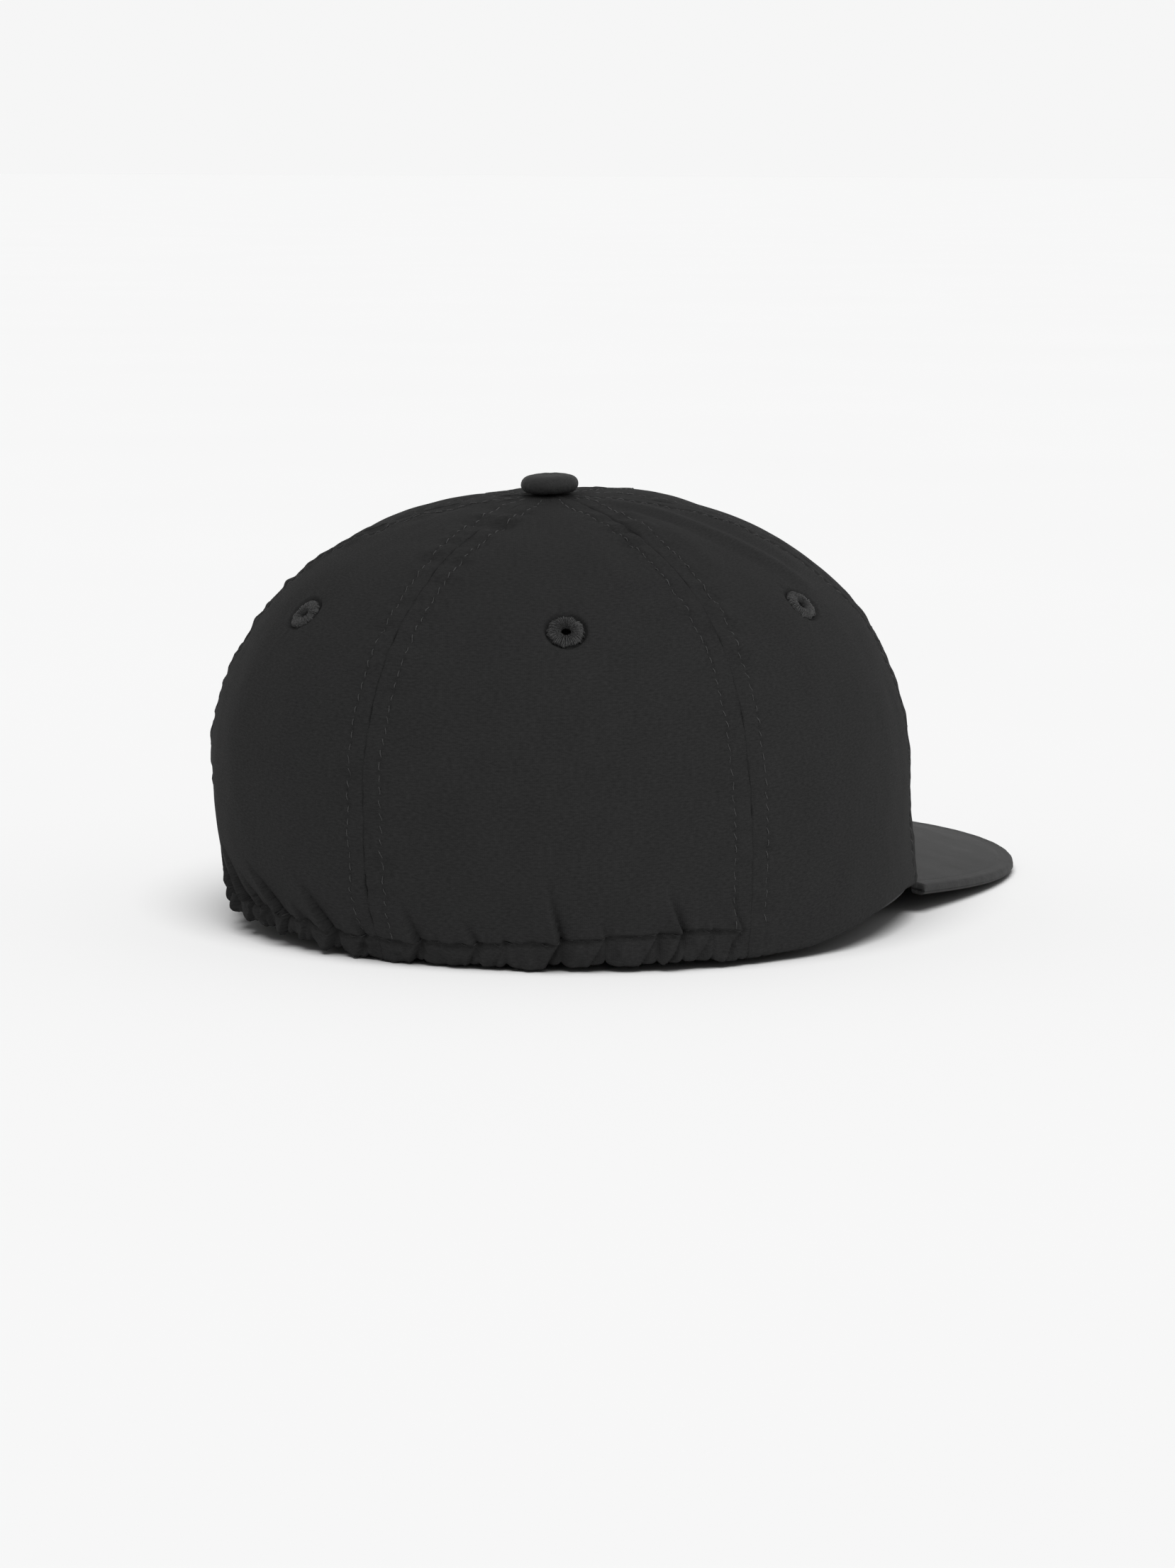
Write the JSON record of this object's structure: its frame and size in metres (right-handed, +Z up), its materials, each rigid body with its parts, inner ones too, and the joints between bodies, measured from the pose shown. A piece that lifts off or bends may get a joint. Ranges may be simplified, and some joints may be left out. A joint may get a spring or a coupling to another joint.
{
  "type": "bump cap",
  "caption": "Soft fabric bump cap with a panelled crown, double-stitched seams, eyelets, covered button, short peak, elastic rear hem and a removable protective shell with foam pads.",
  "frame": {"origin": "centre of the bounding box's footprint, on the surface that the cap stands on", "axes": "+Z up; the peak points to -Y; the wearer's right-hand side is -X"},
  "size_m": [0.1852, 0.2566, 0.1193],
  "materials": {
    "crown_cloth": "matte",
    "peak_cloth": "matte",
    "button_cloth": "matte",
    "embroidery_thread": "satin",
    "seam_tape": "matte",
    "stiffener": "matte",
    "sweatband_cloth": "matte",
    "elastic": "matte",
    "label": "satin",
    "hook_and_loop": "matte",
    "washer": "satin",
    "peak_board": "matte",
    "shell_plastic": "satin",
    "foam": "matte"
  },
  "bodies": {
    "cap": {"panel_front_right": "crown_cloth", "panel_front_left": "crown_cloth", "panel_side_right": "crown_cloth", "panel_side_left": "crown_cloth", "panel_rear_right": "crown_cloth", "panel_rear_left": "crown_cloth", "eyelet_front_right": "embroidery_thread", "eyelet_front_left": "embroidery_thread", "eyelet_side_right": "embroidery_thread", "eyelet_side_left": "embroidery_thread", "eyelet_rear_right": "embroidery_thread", "eyelet_rear_left": "embroidery_thread", "seam_tape_front": "seam_tape", "seam_tape_front_right": "seam_tape", "seam_tape_front_left": "seam_tape", "seam_tape_rear_right": "seam_tape", "seam_tape_rear_left": "seam_tape", "seam_tape_rear": "seam_tape", "front_stiffener_right": "stiffener", "front_stiffener_left": "stiffener", "sweatband": "sweatband_cloth", "elastic_band": "elastic", "rear_hem_casing": "crown_cloth", "care_label": "label", "loop_patch": "hook_and_loop", "top_button": "button_cloth", "button_backing": "washer", "peak_cover_top": "peak_cloth", "peak_board": "peak_board", "peak_cover_under": "peak_cloth"},
    "insert": {"bump_shell": "shell_plastic", "front_pad": "foam", "rear_pad": "foam", "side_pad_right": "foam", "side_pad_left": "foam", "crown_pad": "foam", "hook_patch": "hook_and_loop"}
  },
  "joints": [
    {"name": "insert_slide", "type": "slide", "parent": "cap", "child": "insert", "axis": [0, -0.1977, -0.9803], "range_m": [0, 0.12]}
  ]
}
